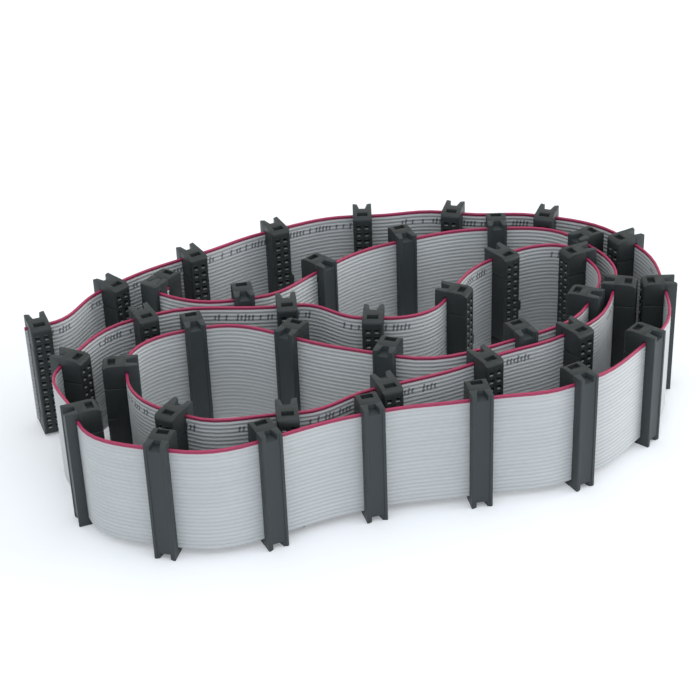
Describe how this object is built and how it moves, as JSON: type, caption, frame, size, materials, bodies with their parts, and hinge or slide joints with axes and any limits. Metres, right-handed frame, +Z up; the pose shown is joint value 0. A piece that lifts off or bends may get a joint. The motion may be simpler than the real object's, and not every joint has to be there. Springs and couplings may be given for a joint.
{
  "type": "ribbon cable",
  "caption": "Flat grey ribbon cable with a crimson edge wire and black two-row pin sockets pressed on along its whole length, stood on edge and laid in loops.",
  "frame": {"origin": "middle of the whole lay, on the surface that the sockets stand on", "axes": "+X along the longer side of the lay, +Y across it, +Z up, along the sockets and across the ribbon's width"},
  "size_m": [0.1954, 0.139, 0.0374],
  "materials": {
    "ribbon_grey": "flexible vinyl, ribbed along its wires, slight sheen",
    "edge_crimson": "flexible vinyl, crimson, slight sheen",
    "housing_black": "moulded plastic, fine satin",
    "cover_black": "moulded plastic, fine satin",
    "contact_metal": "plated spring metal"
  },
  "bodies": {
    "root": {"ribbon": "ribbon_grey", "edge_wire": "edge_crimson", "strain_relief": "cover_black", "housing_01": "housing_black", "housing_02": "housing_black", "housing_03": "housing_black", "housing_04": "housing_black", "housing_05": "housing_black", "housing_06": "housing_black", "housing_07": "housing_black", "housing_08": "housing_black", "housing_09": "housing_black", "housing_10": "housing_black", "housing_11": "housing_black", "housing_12": "housing_black", "housing_13": "housing_black", "housing_14": "housing_black", "housing_15": "housing_black", "housing_16": "housing_black", "housing_17": "housing_black", "housing_18": "housing_black", "housing_19": "housing_black", "housing_20": "housing_black", "housing_21": "housing_black", "housing_22": "housing_black", "housing_23": "housing_black", "housing_24": "housing_black", "housing_25": "housing_black", "housing_26": "housing_black", "housing_27": "housing_black", "housing_28": "housing_black", "housing_29": "housing_black", "housing_30": "housing_black", "housing_31": "housing_black", "housing_32": "housing_black", "housing_33": "housing_black", "housing_34": "housing_black", "housing_35": "housing_black", "housing_36": "housing_black", "housing_37": "housing_black", "housing_38": "housing_black", "housing_39": "housing_black", "housing_40": "housing_black", "housing_41": "housing_black", "covers_01_to_06": "cover_black", "covers_07_to_12": "cover_black", "covers_13_to_18": "cover_black", "covers_19_to_24": "cover_black", "covers_25_to_30": "cover_black", "covers_31_to_36": "cover_black", "covers_37_to_41": "cover_black", "contacts_01_to_06": "contact_metal", "contacts_07_to_12": "contact_metal", "contacts_13_to_18": "contact_metal", "contacts_19_to_24": "contact_metal", "contacts_25_to_30": "contact_metal", "contacts_31_to_36": "contact_metal", "contacts_37_to_41": "contact_metal"}
  },
  "joints": []
}
